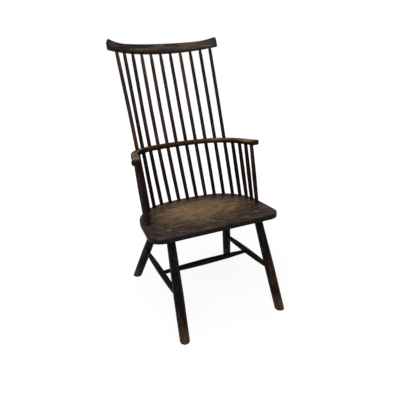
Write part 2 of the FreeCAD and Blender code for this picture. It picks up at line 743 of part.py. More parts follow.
def build_arm_bow(drills):
    """The bent bow, rounded all along, with a hole for each stick."""
    body = new_body("arm_bow_bent", arm_frame)
    outline = new_sketch(body, "arm_outline", Placement(Vector(0, 0, -size("arm_thickness") / 2), Rotation()))
    outline.setExpression("AttachmentOffset.Base.z", "-Sizes.arm_thickness / 2")
    corners = arm_outline(outline)
    bar = pad(body, "arm_pad", outline, "Sizes.arm_thickness")
    upright = edges_at(bar.Shape, lambda point: min(
        math.hypot(point.x - corner.x, point.y - corner.y) for corner in corners
    ) < 1e-4)
    bow = dress_edges(body, "Fillet", "hand_corners", bar, upright, "Sizes.hand_corner_round")
    half = size("arm_thickness") / 2
    rims = edges_at(bow.Shape, lambda point: abs(abs(point.z) - half) < 1e-6)
    dress_edges(body, "Chamfer", "arm_edges", bow, rims, "Sizes.arm_edge_bevel")
    return cut("arm_bow", body, gather("arm_holes", drills))


# The comb


def comb_plan(sketch):
    """Draws the comb in plan: two arcs about one centre, and an end each side."""
    radius, half = size("comb_radius"), size("comb_thickness") / 2
    centre = Vector(0, -radius, 0)
    right = math.acos(size("comb_reach_right") / radius)
    left = math.pi - math.acos(size("comb_reach_left") / radius)
    rims = []
    for offset, word in ((half, " + "), (-half, " - ")):
        circle = Part.Circle(centre, UP, radius + offset)
        index = sketch.addGeometry(Part.ArcOfCircle(circle, right, left), False)
        bind(
            sketch, Sketcher.Constraint("Radius", index, radius + offset),
            "Sizes.comb_radius" + word + "Sizes.comb_thickness / 2",
        )
        rims.append(index)
    for end in (1, 2):
        outer, inner = (sketch.getPoint(index, end) for index in rims)
        line = sketch.addGeometry(Part.LineSegment(outer, inner), False)
        sketch.addConstraint(Sketcher.Constraint("Coincident", line, 1, rims[0], end))
        sketch.addConstraint(Sketcher.Constraint("Coincident", line, 2, rims[1], end))
    sketch.addConstraint(Sketcher.Constraint("Coincident", rims[0], 3, rims[1], 3))
    sketch.addConstraint(Sketcher.Constraint("PointOnObject", rims[0], 3, -2))
    bind(sketch, Sketcher.Constraint("DistanceY", rims[0], 3, -1, 1, radius), "Sizes.comb_radius")


def comb_elevation(sketch):
    """Draws what is cut away round the comb's face: all outside its crest, ears and underside."""
    far = 2 * size("comb_radius")
    frame = [Vector(-far, -far, 0), Vector(far, -far, 0), Vector(far, far, 0), Vector(-far, far, 0)]
    for corner in range(4):
        sketch.addGeometry(Part.LineSegment(frame[corner], frame[(corner + 1) % 4]), False)
    drop, crest = size("comb_end_drop"), size("comb_middle_rise")
    left, right = size("comb_reach_left"), size("comb_reach_right")
    shoulder = Vector(size("comb_shoulder_reach"), size("comb_shoulder_rise"), 0)
    underside = [Vector(-left, -drop, 0), Vector(0, 0, 0), Vector(right, -drop, 0)]
    sketch.addGeometry(Part.ArcOfCircle(*underside), False)
    sketch.addGeometry(Part.ArcOfCircle(mirrored(shoulder, -1), Vector(0, crest, 0), shoulder), False)
    fall = 2 * math.atan((crest - shoulder.y) / shoulder.x)
    for reach, side in ((right, 1), (left, -1)):
        ear = Vector(reach - size("comb_ear_length"), size("comb_ear_rise"), 0)
        chord = ear - shoulder
        climb = math.atan2(chord.y, chord.x)
        sag = chord.Length / 2 * math.tan((fall + climb) / 2)
        hollow = between(shoulder, ear, 0.5) + Vector(math.sin(climb), -math.cos(climb), 0) * sag
        rise = fall + 2 * climb
        radius = size("comb_ear_length") / (1 + math.sin(rise))
        centre = ear + Vector(math.sin(rise), -math.cos(rise), 0) * radius
        knuckle = centre + Vector(math.sqrt(0.5), math.sqrt(0.5), 0) * radius
        tip = centre + Vector(radius, 0, 0)
        rim = [mirrored(point, side) for point in (shoulder, hollow, ear, knuckle, tip)]
        sketch.addGeometry(Part.ArcOfCircle(*rim[:3]), False)
        sketch.addGeometry(Part.ArcOfCircle(*rim[2:]), False)
        sketch.addGeometry(Part.LineSegment(rim[4], Vector(side * reach, -drop, 0)), False)


def build_comb(drills):
    """The comb: a curved strip cut to its crest and ears, its edges rounded, bored from beneath."""
    body = new_body("comb_rail", comb_frame)
    plan = new_sketch(body, "comb_plan", Placement(Vector(0, 0, -2 * size("comb_end_drop")), Rotation()))
    comb_plan(plan)
    strip = pad(body, "comb_strip", plan, "Sizes.comb_middle_rise + 3 * Sizes.comb_end_drop")
    elevation = new_sketch(body, "comb_elevation", None, "XZ_Plane")
    comb_elevation(elevation)
    trim = body.newObject("PartDesign::Pocket", "comb_trim")
    trim.Profile = elevation
    trim.Type = "ThroughAll"
    trim.SideType = "Symmetric"
    doc.recompute()
    if trim.Shape.Volume >= 0.95 * strip.Shape.Volume:
        raise RuntimeError("the comb's face was not cut")
    centre = Vector(0, -size("comb_radius"), 0)
    half = size("comb_thickness") / 2

    def lies_at(radius):
        return lambda point: abs(math.hypot(point.x - centre.x, point.y - centre.y) - radius) < 1e-4

    front_rim = edges_at(trim.Shape, lies_at(size("comb_radius") - half))
    eased = dress_edges(body, "Chamfer", "comb_front_edges", trim, front_rim, "Sizes.comb_front_bevel")
    back_rim = edges_at(eased.Shape, lies_at(size("comb_radius") + half))
    dress_edges(body, "Chamfer", "comb_back_edges", eased, back_rim, "Sizes.comb_back_bevel")
    return cut("comb", body, gather("comb_holes", drills))


# The sticks


def stick_body(name, start, end, stations):
    """A round stick lofted through stations: (word, size, placement in the chair)."""
    placement = toward(start, end)
    body = new_body(name, placement)
    sections = [
        round_section(body, "%s_%s" % (name, word), alias, placement.inverse() * station)
        for word, alias, station in stations
    ]
    loft(body, name + "_loft", sections)
    return body


def build_long_stick(name, spring):
    """One long stick, sprung back a little where it passes through the arm bow."""
    in_seat = size("seat_socket_depth") - size("socket_bottom_gap")
    in_comb = size("comb_socket_depth") - size("socket_bottom_gap")
    return stick_body(name, spring.seat, spring.comb, (
        ("foot", "long_stick_seat_diameter", spring.place(spring.seat, -in_seat)),
        ("seat", "long_stick_seat_diameter", spring.place(spring.seat)),
        ("lower", "long_stick_lower_diameter", spring.share(spring.seat, spring.arm, 0.5)),
        ("arm", "long_stick_arm_diameter", spring.place(spring.arm)),
        ("upper", "long_stick_upper_diameter", spring.share(spring.arm, spring.comb, 0.4)),
        ("neck", "long_stick_neck_diameter", spring.share(spring.arm, spring.comb, 0.93)),
        ("comb", "long_stick_comb_diameter", spring.place(spring.comb, -size("comb_tenon_show"))),
        ("top", "long_stick_comb_diameter", spring.place(spring.comb, in_comb)),
    ))


def build_arm_stick(name, seat, arm):
    """One short stick, through the arm bow, its end section lying in the bow's top."""
    axis = (arm - seat).normalize()
    turn = Rotation(UP, axis)
    in_seat = size("seat_socket_depth") - size("socket_bottom_gap")
    bow_up = arm_frame.Rotation.multVec(UP)
    flush = arm + axis * (size("arm_thickness") / 2 / axis.dot(bow_up))
    return stick_body(name, seat, arm, (
        ("foot", "arm_stick_end_diameter", Placement(seat - axis * in_seat, turn)),
        ("seat", "arm_stick_end_diameter", Placement(seat, turn)),
        ("swell", "arm_stick_swell_diameter", Placement(between(seat, arm, 0.45), turn)),
        ("neck", "arm_stick_end_diameter", Placement(arm - axis * size("arm_thickness"), turn)),
        ("top", "arm_stick_end_diameter", Placement(flush, arm_frame.Rotation)),
    ))


# The whole chair

pieces = []
clear_of = "Sizes.%s / 2 + Sizes.socket_clearance"
seat_drills, arm_drills, comb_drills = [], [], []


def moved_along(placement, distance):
    """The placement moved along its own Z."""
    return Placement(placement.multVec(UP * distance), placement.Rotation)


def drill_down(name, placement, diameter, depth):
    """A socket drilled down into the seat along the placement's own Z."""
    start = moved_along(placement, -size(depth))
    return drill(name, clear_of % diameter, "Sizes.%s + Sizes.bore_overrun" % depth, start)


def drill_up(name, placement, diameter, depth):
    """A socket drilled up into the comb along the placement's own Z."""
    start = moved_along(placement, -size("bore_overrun"))
    return drill(name, clear_of % diameter, "Sizes.%s + Sizes.bore_overrun" % depth, start)


def drill_through(name, placement, diameter):
    """A hole through the arm bow along the placement's own Z."""
    start = moved_along(placement, -1.5 * size("arm_thickness"))
    return drill(name, clear_of % diameter, "3 * Sizes.arm_thickness", start)


for place in range(2 * LONG_STICKS_EACH_SIDE + 1):
    number = abs(place - LONG_STICKS_EACH_SIDE)
    side = 1 if place >= LONG_STICKS_EACH_SIDE else -1
    label = "long_stick_%02d" % (place + 1)
    spring = Spring(number, side)
    pieces.append(build_long_stick(label, spring))
    at_seat, at_arm, at_comb = (spring.place(point) for point in (spring.seat, spring.arm, spring.comb))
    seat_drills.append(drill_down(label + "_seat_drill", at_seat, "long_stick_seat_diameter", "seat_socket_depth"))
    arm_drills.append(drill_through(label + "_arm_drill", at_arm, "long_stick_arm_diameter"))
    comb_drills.append(drill_up(label + "_comb_drill", at_comb, "long_stick_comb_diameter", "comb_socket_depth"))

for side, word in ((-1, "left"), (1, "right")):
    for place in range(1, ARM_STICKS_EACH_SIDE + 1):
        label = "arm_stick_%s_%d" % (word, place)
        seat_end = seat_point(LONG_STICKS_EACH_SIDE + place, side)
        arm_end = arm_point(LONG_STICKS_EACH_SIDE + place, side)
        pieces.append(build_arm_stick(label, seat_end, arm_end))
        turn = Rotation(UP, arm_end - seat_end)
        seat_drills.append(drill_down(
            label + "_seat_drill", Placement(seat_end, turn), "arm_stick_end_diameter", "seat_socket_depth"
        ))
        arm_drills.append(drill_through(
            label + "_arm_drill", Placement(arm_end, turn), "arm_stick_end_diameter"
        ))

leg_drills = [
    drill(name + "_mortise", clear_of % "leg_tenon_diameter", TENON_REACH, tenon_foot(name)) for name in LEGS
]
pieces.append(build_seat(leg_drills, seat_drills))
pieces.append(build_arm_bow(arm_drills))
pieces.append(build_comb(comb_drills))

leg_mortises = {name: [] for name in LEGS}
rail_middles = {}
leg_neck = size("leg_swell_flats") / 2 + size("tenon_stop")
for side, word in ((-1, "left"), (1, "right")):
    front_name, rear_name = "front_leg_" + word, "rear_leg_" + word
    front = leg_point(front_name, size(word + "_stretcher_front"))
    rear = leg_point(rear_name, size(word + "_stretcher_rear"))
    rail = build_rail("side_stretcher_" + word, rear, front, "stretcher", leg_neck, leg_neck)
    for leg, here, there in ((front_name, front, rear), (rear_name, rear, front)):
        leg_mortises[leg].append(mortise(leg + "_mortise_drill", here, there, "stretcher_end_diameter"))
    rail_middles[word] = (rail, between(rear, front, size("middle_place")))

middle_neck = size("stretcher_swell_diameter") / 2 + size("tenon_stop")
left_middle, right_middle = rail_middles["left"][1], rail_middles["right"][1]
for word, here, there in (("left", left_middle, right_middle), ("right", right_middle, left_middle)):
    socket = mortise("middle_mortise_" + word, here, there, "middle_end_diameter")
    pieces.append(cut("side_stretcher_" + word, rail_middles[word][0], socket))
middle = build_rail("middle_stretcher", left_middle, right_middle, "middle", middle_neck, middle_neck)
middle.Label = "middle_stretcher"
pieces.append(middle)

below_seat = slab("below_seat", "0", "Sizes.seat_height - Sizes.seat_thickness - Sizes.leg_shoulder_gap")
seat_space = slab("seat_space", "Sizes.seat_height / 2", "Sizes.seat_height / 2")
for leg in LEGS:
    pieces.append(build_leg(leg, below_seat, seat_space, leg_mortises[leg]))
    wedge_label = "leg_wedge_" + "_".join(part for part in leg.split("_") if part != "leg")
    pieces.append(build_wedge(wedge_label, leg, seat_space))

doc.recompute()

faults = [item.Label for item in doc.Objects if "Invalid" in item.State or "Error" in item.State]
faults += [piece.Label for piece in pieces if piece.Shape.isNull() or not piece.Shape.isValid()]
faults += [piece.Label for piece in pieces if len(piece.Shape.Solids) != 1]
if faults:
    raise RuntimeError("not built: " + ", ".join(faults))

os.makedirs("parts", exist_ok=True)
whole_box = FreeCAD.BoundBox()
for piece in pieces:
    piece.Shape.exportStep("parts/%s.step" % piece.Label)
    whole_box.add(piece.Shape.BoundBox)
print("%d pieces, from %s to %s" % (
    len(pieces),
    tuple(round(number, 2) for number in (whole_box.XMin, whole_box.YMin, whole_box.ZMin)),
    tuple(round(number, 2) for number in (whole_box.XMax, whole_box.YMax, whole_box.ZMax)),
))
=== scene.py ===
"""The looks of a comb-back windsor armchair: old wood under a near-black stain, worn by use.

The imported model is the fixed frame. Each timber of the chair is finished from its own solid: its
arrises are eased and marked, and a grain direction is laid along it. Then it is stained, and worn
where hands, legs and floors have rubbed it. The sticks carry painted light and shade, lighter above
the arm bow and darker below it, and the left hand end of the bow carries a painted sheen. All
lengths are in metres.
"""

from __future__ import annotations

import logging
import math
from dataclasses import dataclass, field
from enum import Enum
from typing import Any, Iterable, Sequence

import bmesh
import bpy
import numpy as np
from mathutils import Matrix, Vector

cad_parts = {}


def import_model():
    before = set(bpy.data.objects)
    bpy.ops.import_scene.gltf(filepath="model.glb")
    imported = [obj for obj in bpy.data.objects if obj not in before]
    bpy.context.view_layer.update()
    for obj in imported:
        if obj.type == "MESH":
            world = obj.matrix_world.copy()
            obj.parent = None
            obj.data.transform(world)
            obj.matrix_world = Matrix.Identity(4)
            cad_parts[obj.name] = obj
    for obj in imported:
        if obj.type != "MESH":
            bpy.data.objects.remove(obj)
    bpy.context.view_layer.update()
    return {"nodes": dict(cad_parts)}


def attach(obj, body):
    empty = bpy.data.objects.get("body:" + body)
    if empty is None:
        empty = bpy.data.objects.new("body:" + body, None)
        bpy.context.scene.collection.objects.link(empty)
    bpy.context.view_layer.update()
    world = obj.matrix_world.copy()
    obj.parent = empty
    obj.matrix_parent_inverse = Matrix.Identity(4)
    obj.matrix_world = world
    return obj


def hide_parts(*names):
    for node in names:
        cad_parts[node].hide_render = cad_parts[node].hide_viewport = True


LOG = logging.getLogger("windsor_chair")
BODY = "root"
BRIGHTEST = 255

Colour = tuple[float, float, float]
Span = tuple[float, float]

# Between which values of a noise the stain changes, from where a change begins to where it ends.
FIBRES_THIN: Span = (0.4, 0.68)
FIBRES_BARE: Span = (0.34, 0.6)
PATCHES_THIN: Span = (0.42, 0.66)
PATCHES_RED: Span = (0.4, 0.6)
PATCHES_DULL: Span = (0.35, 0.7)
PORES_DARK: Span = (0.54, 0.68)
PORES_DEEP: Span = (0.62, 0.5)
RUBBED_THROUGH: Span = (0.44, 0.6)
KNOCKED: Span = (0.6, 0.68)
STREAKED: Span = (0.48, 0.62)
HANDLED: Span = (0.38, 0.52)

# How fine the pores are beside the fibres, and how much each noise counts.
PORE_FINENESS = 5
THIN_BY_FIBRES = 0.4
THIN_BY_PATCHES = 0.75
LEAST_RED = 0.25
DARK_BY_PORES = 0.5
DULL_BY_PATCHES = 0.2
DULL_BY_WEAR = 0.1
DULL_BY_PORES = 0.05
FIBRE_RELIEF = 0.55
PORE_RELIEF = 0.25
PATCH_RELIEF = 0.9

# The depth of the relief, and how a solid is cleaned, eased and shaded.
RELIEF = 0.0004
COAT_ROUGHNESS = 0.34
SAME_POINT = 2e-6
FLAT_DEGREES = 0.4
ARRIS_DEGREES = 30
ARRIS_SEGMENTS = 2
ARRIS_ROUNDNESS = 0.6
BROAD_FACE_WEIGHT = 80
LINE_STEP = 0.004
GRAIN_SHIFT = np.array([1.7, 0.31, 0.53])


def stain(red: float, green: float, blue: float) -> Colour:
    """A screen colour, 0 to 255 a channel, as the linear colour that the shader wants.

    Args:
        red, green, blue: the colour as it looks on a screen.

    Returns:
        The three linear channels.
    """
    shares = (channel / BRIGHTEST for channel in (red, green, blue))
    return tuple(
        share / 12.92 if share <= 0.04045 else ((share + 0.055) / 1.055) ** 2.4
        for share in shares
    )


def grey(level: float) -> tuple[float, float, float, float]:
    """An opaque grey of that level, from 0 for black to 1 for white."""
    return (level, level, level, 1.0)


@dataclass(frozen=True)
class Grain:
    """A noise that is stretched along the grain.

    Attributes:
        along: its scale along the grain.
        across: its scale across the grain.
        detail: how many finer layers it has.
        rough: how strong they are.
        bend: how far it is pulled about.
    """

    along: float
    across: float
    detail: float
    rough: float
    bend: float = 0.0


class Value:
    """A socket that can stand in a sum: the operators add Math nodes."""

    def __init__(self, paint: Paint, socket: bpy.types.NodeSocket | None) -> None:
        """Keeps the paint that owns the socket, and the socket."""
        self.paint = paint
        self.socket = socket

    def maths(self, operation: str, *operands: Any) -> Value:
        """The result of one Math node on numbers or values, in the order of its sockets."""
        settings = {"operation": operation}
        return self.paint.node("ShaderNodeMath", settings, dict(enumerate(operands)))

    def __add__(self, other: Any) -> Value:
        """This value and another together."""
        return self.maths("ADD", self, other)

    def __sub__(self, other: Any) -> Value:
        """This value less another."""
        return self.maths("SUBTRACT", self, other)

    def __rsub__(self, other: Any) -> Value:
        """Another value less this one."""
        return self.maths("SUBTRACT", other, self)

    def __mul__(self, other: Any) -> Value:
        """This value times another."""
        return self.maths("MULTIPLY", self, other)

    def __truediv__(self, other: Any) -> Value:
        """This value over another."""
        return self.maths("DIVIDE", self, other)

    def __pow__(self, power: float) -> Value:
        """This value to a power."""
        return self.maths("POWER", self, power)

    __radd__ = __add__
    __rmul__ = __mul__

    def abs(self) -> Value:
        """The size of this value, without its sign."""
        return self.maths("ABSOLUTE", self)

    def least(self, other: Any) -> Value:
        """The smaller of this value and another."""
        return self.maths("MINIMUM", self, other)

    def most(self, other: Any) -> Value:
        """The larger of this value and another."""
        return self.maths("MAXIMUM", self, other)

    def ramp(self, low: float, high: float) -> Value:
        """Rises smoothly from 0 at low to 1 at high; falls where low is above high.

        Args:
            low: where the result is 0.
            high: where the result is 1.

        Returns:
            The eased share between the two.
        """
        if low > high:
            return 1 - self.ramp(high, low)
        settings = {"interpolation_type": "SMOOTHSTEP"}
        return self.paint.node("ShaderNodeMapRange", settings, {
            "Value": self, "From Min": low, "From Max": high,
        })


class Paint:
    """The node tree of a material or a world, and the way that its nodes are made."""

    def __init__(self, holder: bpy.types.Material | bpy.types.World) -> None:
        """Empties the node tree of a new material or world.

        Args:
            holder: that material or world.
        """
        self.holder = holder
        holder.use_nodes = True
        self.tree = holder.node_tree
        self.tree.nodes.clear()

    def node(
        self, kind: str, settings: dict[str, Any], inputs: dict[Any, Any], output: Any = 0
    ) -> Value:
        """Makes one node, its settings first.

        Args:
            kind: the node's type.
            settings: attributes by name.
            inputs: numbers, colours or values by socket name or place.
            output: the name or place of the output wanted.

        Returns:
            That output, or a value without a socket for a node that only takes.
        """
        made = self.tree.nodes.new(kind)
        for name, setting in settings.items():
            setattr(made, name, setting)
        for name, given in inputs.items():
            if isinstance(given, Value):
                self.tree.links.new(given.socket, made.inputs[name])
            else:
                made.inputs[name].default_value = given
        return Value(self, made.outputs[output] if made.outputs else None)

    def close(self, surface: Value, kind: str = "ShaderNodeOutputMaterial") -> Any:
        """Joins the surface to its output, and returns the material or world."""
        self.node(kind, {}, {"Surface": surface})
        return self.holder

    def mix(self, share: Any, below: Any, above: Any) -> Value:
        """Mixes two colours.

        Args:
            share: how much of the second colour.
            below: the first colour, as a value or three channels.
            above: the second colour.

        Returns:
            The mixed colour.
        """
        settings = {"data_type": "RGBA", "clamp_factor": True}
        given = [part if isinstance(part, Value) else (*part, 1.0) for part in (below, above)]
        return self.node("ShaderNodeMix", settings, {0: share, 6: given[0], 7: given[1]}, 2)

    def attribute(self, name: str, output: str = "Fac") -> Value:
        """Reads what the mesh carries under that name."""
        return self.node("ShaderNodeAttribute", {"attribute_name": name}, {}, output)

    def place(self) -> tuple[Value, Value, Value]:
        """The point's own X, Y and Z in the chair, in metres."""
        return self.split(self.node("ShaderNodeTexCoord", {}, {}, "Object"))

    def split(self, vector: Value) -> tuple[Value, Value, Value]:
        """The three numbers of a vector."""
        outputs = self.node("ShaderNodeSeparateXYZ", {}, {0: vector}).socket.node.outputs
        return tuple(Value(self, output) for output in outputs)

    def noise(self, grain: Grain) -> Value:
        """Soft noise about 0.5, laid along the grain that the mesh carries.

        Args:
            grain: the noise's scales and character.

        Returns:
            The noise.
        """
        scale = (grain.along, grain.across, grain.across)
        stretched = self.node("ShaderNodeVectorMath", {"operation": "MULTIPLY"}, {
            0: self.attribute("grain", "Vector"), 1: scale,
        })
        return self.node("ShaderNodeTexNoise", {}, {
            "Vector": stretched, "Scale": 1.0, "Detail": grain.detail, "Roughness": grain.rough,
            "Distortion": grain.bend,
        })

    def facing(self) -> Value:
        """How far the surface faces up, from -1 to 1."""
        normal = self.node("ShaderNodeNewGeometry", {}, {}, "Normal")
        return self.split(normal)[2]

    def finish(
        self, colour: Value, roughness: Value, height: Value, coat: float, shine: float
    ) -> bpy.types.Material:
        """Closes the material with its shader.

        Args:
            colour: the base colour.
            roughness: the roughness.
            height: the relief, as a share of its full depth.
            coat: the weight of the old varnish.
            shine: how strongly the bare surface mirrors.

        Returns:
            The material.
        """
        normal = self.node("ShaderNodeBump", {}, {
            "Strength": 1.0, "Distance": RELIEF, "Height": height,
        })
        shader = self.node("ShaderNodeBsdfPrincipled", {}, {
            "Base Color": colour, "Roughness": roughness, "Normal": normal,
            "Coat Weight": coat, "Coat Roughness": COAT_ROUGHNESS, "Specular IOR Level": shine,
        })
        return self.close(shader)


@dataclass(frozen=True)
class StainedWood:
    """An old black-brown stain over wood, thin along the fibre and rubbed through on the arrises.

    A span in a finish goes from where its change begins to where it is complete.

    Attributes:
        name: the material's name.
        dark: the stain where it lies thick.
        brown: the stain where it lies thin.
        bare: the wood where the stain is gone.
        red: the stain's red-brown, for the pieces that took it so.
        fibre: the scale of the fibres across the grain.
        run: their scale along it.
        gloss: the least roughness.
        coat: the weight of the old varnish.
        rubbed: how far the arrises are rubbed through.
        shine: how strongly the surface mirrors.
        mottle: the patches where the stain took unevenly.
    """

    name: str
    dark: Colour
    brown: Colour
    bare: Colour
    red: Colour = stain(74, 36, 28)
    fibre: float = 190.0
    run: float = 7.0
    gloss: float = 0.4
    coat: float = 0.04
    rubbed: float = 0.5
    shine: float = 0.12
    mottle: Grain = Grain(7.0, 30.0, 4.0, 0.62, 0.6)

    def bare_colour(self, paint: Paint) -> Value | Colour:
        """The wood's own colour where the stain is gone."""
        return self.bare

    def bare_wood(self, paint: Paint) -> Value | float:
        """Where the stain is gone. The plain finish keeps it all over."""
        return 0.0

    def thinness(self, paint: Paint) -> Value | float:
        """How thin the stain lies, as a share of the piece's own tone."""
        return 1.0

    def paint(self) -> bpy.types.Material:
        """Builds the material.

        Returns:
            The material, which reads the grain, tone, red and arris that each mesh carries.
        """
        paint = Paint(bpy.data.materials.new(self.name))
        fibres = paint.noise(Grain(self.run, self.fibre, 4.0, 0.6, 0.3))
        pores = paint.noise(
            Grain(self.run * PORE_FINENESS, self.fibre * PORE_FINENESS, 2.0, 0.6)
        )
        patches = paint.noise(self.mottle)
        rubs = paint.noise(Grain(34.0, 80.0, 4.0, 0.65, 0.2))
        thin = fibres.ramp(*FIBRES_THIN) * THIN_BY_FIBRES
        thin = thin + patches.ramp(*PATCHES_THIN) * THIN_BY_PATCHES
        thin = thin * paint.attribute("tone") * self.thinness(paint)
        colour = paint.mix(thin, self.dark, self.brown)
        patchy = LEAST_RED + (1 - LEAST_RED) * patches.ramp(*PATCHES_RED)
        reddened = paint.attribute("red") * patchy
        colour = paint.mix(reddened, colour, self.red)
        rubbed = paint.attribute("arris") * rubs.ramp(*RUBBED_THROUGH) * self.rubbed
        worn = (self.bare_wood(paint) + rubbed).least(1.0)
        bare = paint.mix(fibres.ramp(*FIBRES_BARE), self.brown, self.bare_colour(paint))
        colour = paint.mix(worn, colour, bare)
        colour = paint.mix(pores.ramp(*PORES_DARK) * DARK_BY_PORES, colour, self.dark)
        dull = self.gloss + DULL_BY_PATCHES * patches.ramp(*PATCHES_DULL)
        dull = dull + DULL_BY_WEAR * worn + DULL_BY_PORES * pores
        height = FIBRE_RELIEF * fibres + PORE_RELIEF * pores.ramp(*PORES_DEEP)
        height = height + PATCH_RELIEF * patches
        return paint.finish(colour, dull, height, self.coat, self.shine)


@dataclass(frozen=True)
class SeatWood(StainedWood):
    """The seat: rubbed brown in the dish, black at the edges and behind.

    Attributes:
        dish: how far the worn dish reaches sideways, and how far fore and aft.
        forward: how far its middle lies in front of the origin.
        edge: its edge, as shares of that reach.
        ragged, broad: how strongly a fine and a broad noise break that edge.
        back: where it ends behind.
        back_slant: how far that end slants sideways.
        worn_top: how far up a worn face looks.
        stained_top: how far up a face with thin stain looks.
        thin: how thin the stain lies on the top.
        front: where it thins in front.
        thin_front: how much thinner it lies there.
        behind: where the stain thickens behind.
        behind_slant: how far that line slants sideways.
        thick_behind: how much thicker it lies there.
        left: where it thickens at the left.
        left_slant: how far that line slants.
        thick_left: how much thicker it lies there, as a share of thick_behind.
        crack: the middle of the crack, sideways and fore and aft.
        slant: how far the crack leans sideways for its length.
        crack_width: how far beside its middle line it fades in.
        crack_length: how far from its middle it fades in.
    """

    dish: tuple[float, float] = (0.235, 0.14)
    forward: float = 0.035
    edge: Span = (1.3, 0.2)
    ragged: float = 2.6
    broad: float = 1.3
    back: Span = (0.15, 0.02)
    back_slant: float = 0.3
    worn_top: Span = (0.9, 0.985)
    stained_top: Span = (0.9, 0.99)
    thin: float = 0.95
    front: Span = (-0.12, -0.22)
    thin_front: float = 0.3
    behind: Span = (0.0, 0.16)
    behind_slant: float = 0.35
    thick_behind: float = 0.5
    left: Span = (-0.1, -0.24)
    left_slant: float = 0.12
    thick_left: float = 0.4
    crack: tuple[float, float] = (-0.026, 0.023)
    slant: float = 0.28
    crack_width: Span = (0.006, 0.002)
    crack_length: Span = (0.046, 0.03)

    def bare_wood(self, paint: Paint) -> Value | float:
        """The dish, where people have sat, broken up along the grain.

        Args:
            paint: the material that is being made.

        Returns:
            How far the stain is gone, from 0 to 1.
        """
        x, y, _ = paint.place()
        across = x / self.dish[0]
        fore = (y + self.forward) / self.dish[1]
        reach = (across * across + fore * fore) ** 0.5
        ragged = paint.noise(Grain(38.0, 110.0, 6.0, 0.72, 0.9))
        broad = paint.noise(Grain(9.0, 14.0, 3.0, 0.55, 0.8))
        broken = reach + self.ragged * (ragged - 0.5) + self.broad * (broad - 0.5)
        ahead = (y + self.back_slant * x).ramp(*self.back)
        return broken.ramp(*self.edge) * ahead * paint.facing().ramp(*self.worn_top)

    def thinness(self, paint: Paint) -> Value | float:
        """Thin on the top and most of all in front, thick behind, at the left and off the top.

        Args:
            paint: the material that is being made.

        Returns:
            How thin the stain lies, as a share of the seat's own tone.
        """
        x, y, _ = paint.place()
        left = (x + self.left_slant * y).ramp(*self.left) * self.thick_left
        behind = (y + self.behind_slant * x).ramp(*self.behind).most(left)
        fore = y - self.crack[1]
        beside = (x - self.crack[0] + self.slant * fore).abs()
        crack = beside.ramp(*self.crack_width) * fore.abs().ramp(*self.crack_length)
        top = paint.facing().ramp(*self.stained_top)
        thin = self.thin + self.thin_front * y.ramp(*self.front) - self.thick_behind * behind
        return top * thin * (1 - crack)


@dataclass(frozen=True)
class CombWood(StainedWood):
    """The comb: brown along the face where heads lean, black along its foot and at its ears.

    Attributes:
        foot: the heights between which the stain thins above the foot.
        hollow: how strongly that line sinks towards the ears.
        ragged: how far it wanders up and down.
        ears: how far from the middle the ears begin.
        thin: how thin the stain lies above it.
    """

    foot: Span = (1.058, 1.072)
    hollow: float = 0.17
    ragged: float = 0.02
    ears: Span = (0.262, 0.225)
    thin: float = 1.3

    def thinness(self, paint: Paint) -> Value | float:
        """Thinnest above the middle of the face.

        Args:
            paint: the material that is being made.

        Returns:
            How thin the stain lies, as a share of the comb's own tone.
        """
        x, _, z = paint.place()
        ragged = paint.noise(Grain(6.0, 40.0, 3.0, 0.5, 0.3))
        above = z + (x * x) * self.hollow + (ragged - 0.5) * self.ragged
        return above.ramp(*self.foot) * x.abs().ramp(*self.ears) * self.thin


@dataclass(frozen=True)
class StickWood(StainedWood):
    """A stick: lighter above the arm bow and darker below it, a painted light and shade.

    Attributes:
        lit_heights: the heights between which the painted light rises from the shaded lower sticks
            to the lit upper ones.
        least: how thin the stain lies in the painted shade below them.
        thin: how much thinner it is drawn above them, as painted light.
    """

    lit_heights: Span = (0.6, 0.72)
    least: float = 0.05
    thin: float = 0.95

    def thinness(self, paint: Paint) -> Value | float:
        """Thin above the bow and thick below it: painted light above, painted shade below."""
        # Painted light and shade: the stain is drawn thinner, so lighter, above the bow and
        # thicker, so darker, below it.
        return paint.place()[2].ramp(*self.lit_heights) * self.thin + self.least


@dataclass(frozen=True)
class LegWood(StainedWood):
    """A leg: the foot scuffed bare by floors and brooms, and its tenon rubbed bare in the seat.

    Attributes:
        scuffs: the heights between which the foot is scuffed.
        knocks: the heights between which knocks grow stronger.
        tenon: the heights between which the tenon turns bare.
        worn: how bare the foot, the knocks and the tenon get.
        ragged: how far the scuffed edge wanders up and down.
        streaks: the heights between which streaks grow stronger.
        thin: how thin the stain lies in a streak high up, and how much thinner low down.
        least: how thin it lies beside the streaks.
    """

    scuffs: Span = (0.085, 0.02)
    knocks: Span = (0.3, 0.1)
    tenon: Span = (0.382, 0.388)
    worn: tuple[float, float, float] = (0.5, 0.45, 0.85)
    ragged: float = 0.07
    streaks: Span = (0.36, 0.22)
    thin: tuple[float, float] = (0.5, 0.6)
    least: float = 0.06

    def bare_wood(self, paint: Paint) -> Value | float:
        """The lowest part of the foot, a few knocks higher up and the top of the tenon.

        Args:
            paint: the material that is being made.

        Returns:
            How far the stain is gone, from 0 to 1.
        """
        z = paint.place()[2]
        ragged = paint.noise(Grain(22.0, 90.0, 4.0, 0.62, 0.3))
        knocks = paint.noise(Grain(14.0, 38.0, 3.0, 0.6, 0.2))
        foot = (z + self.ragged * (ragged - 0.5)).ramp(*self.scuffs)
        knocked = knocks.ramp(*KNOCKED) * z.ramp(*self.knocks)
        tenon = z.ramp(*self.tenon)
        on_foot, on_knocks, on_tenon = self.worn
        return (foot * on_foot + knocked * on_knocks + tenon * on_tenon).least(1.0)

    def thinness(self, paint: Paint) -> Value | float:
        """Long streaks where the stain has worn along the shaved faces, most of them low down.

        Args:
            paint: the material that is being made.

        Returns:
            How thin the stain lies, as a share of the leg's own tone.
        """
        streaks = paint.noise(Grain(15.0, 75.0, 5.0, 0.7, 0.4))
        low_down = paint.place()[2].ramp(*self.streaks)
        return streaks.ramp(*STREAKED) * (self.thin[0] + self.thin[1] * low_down) + self.least


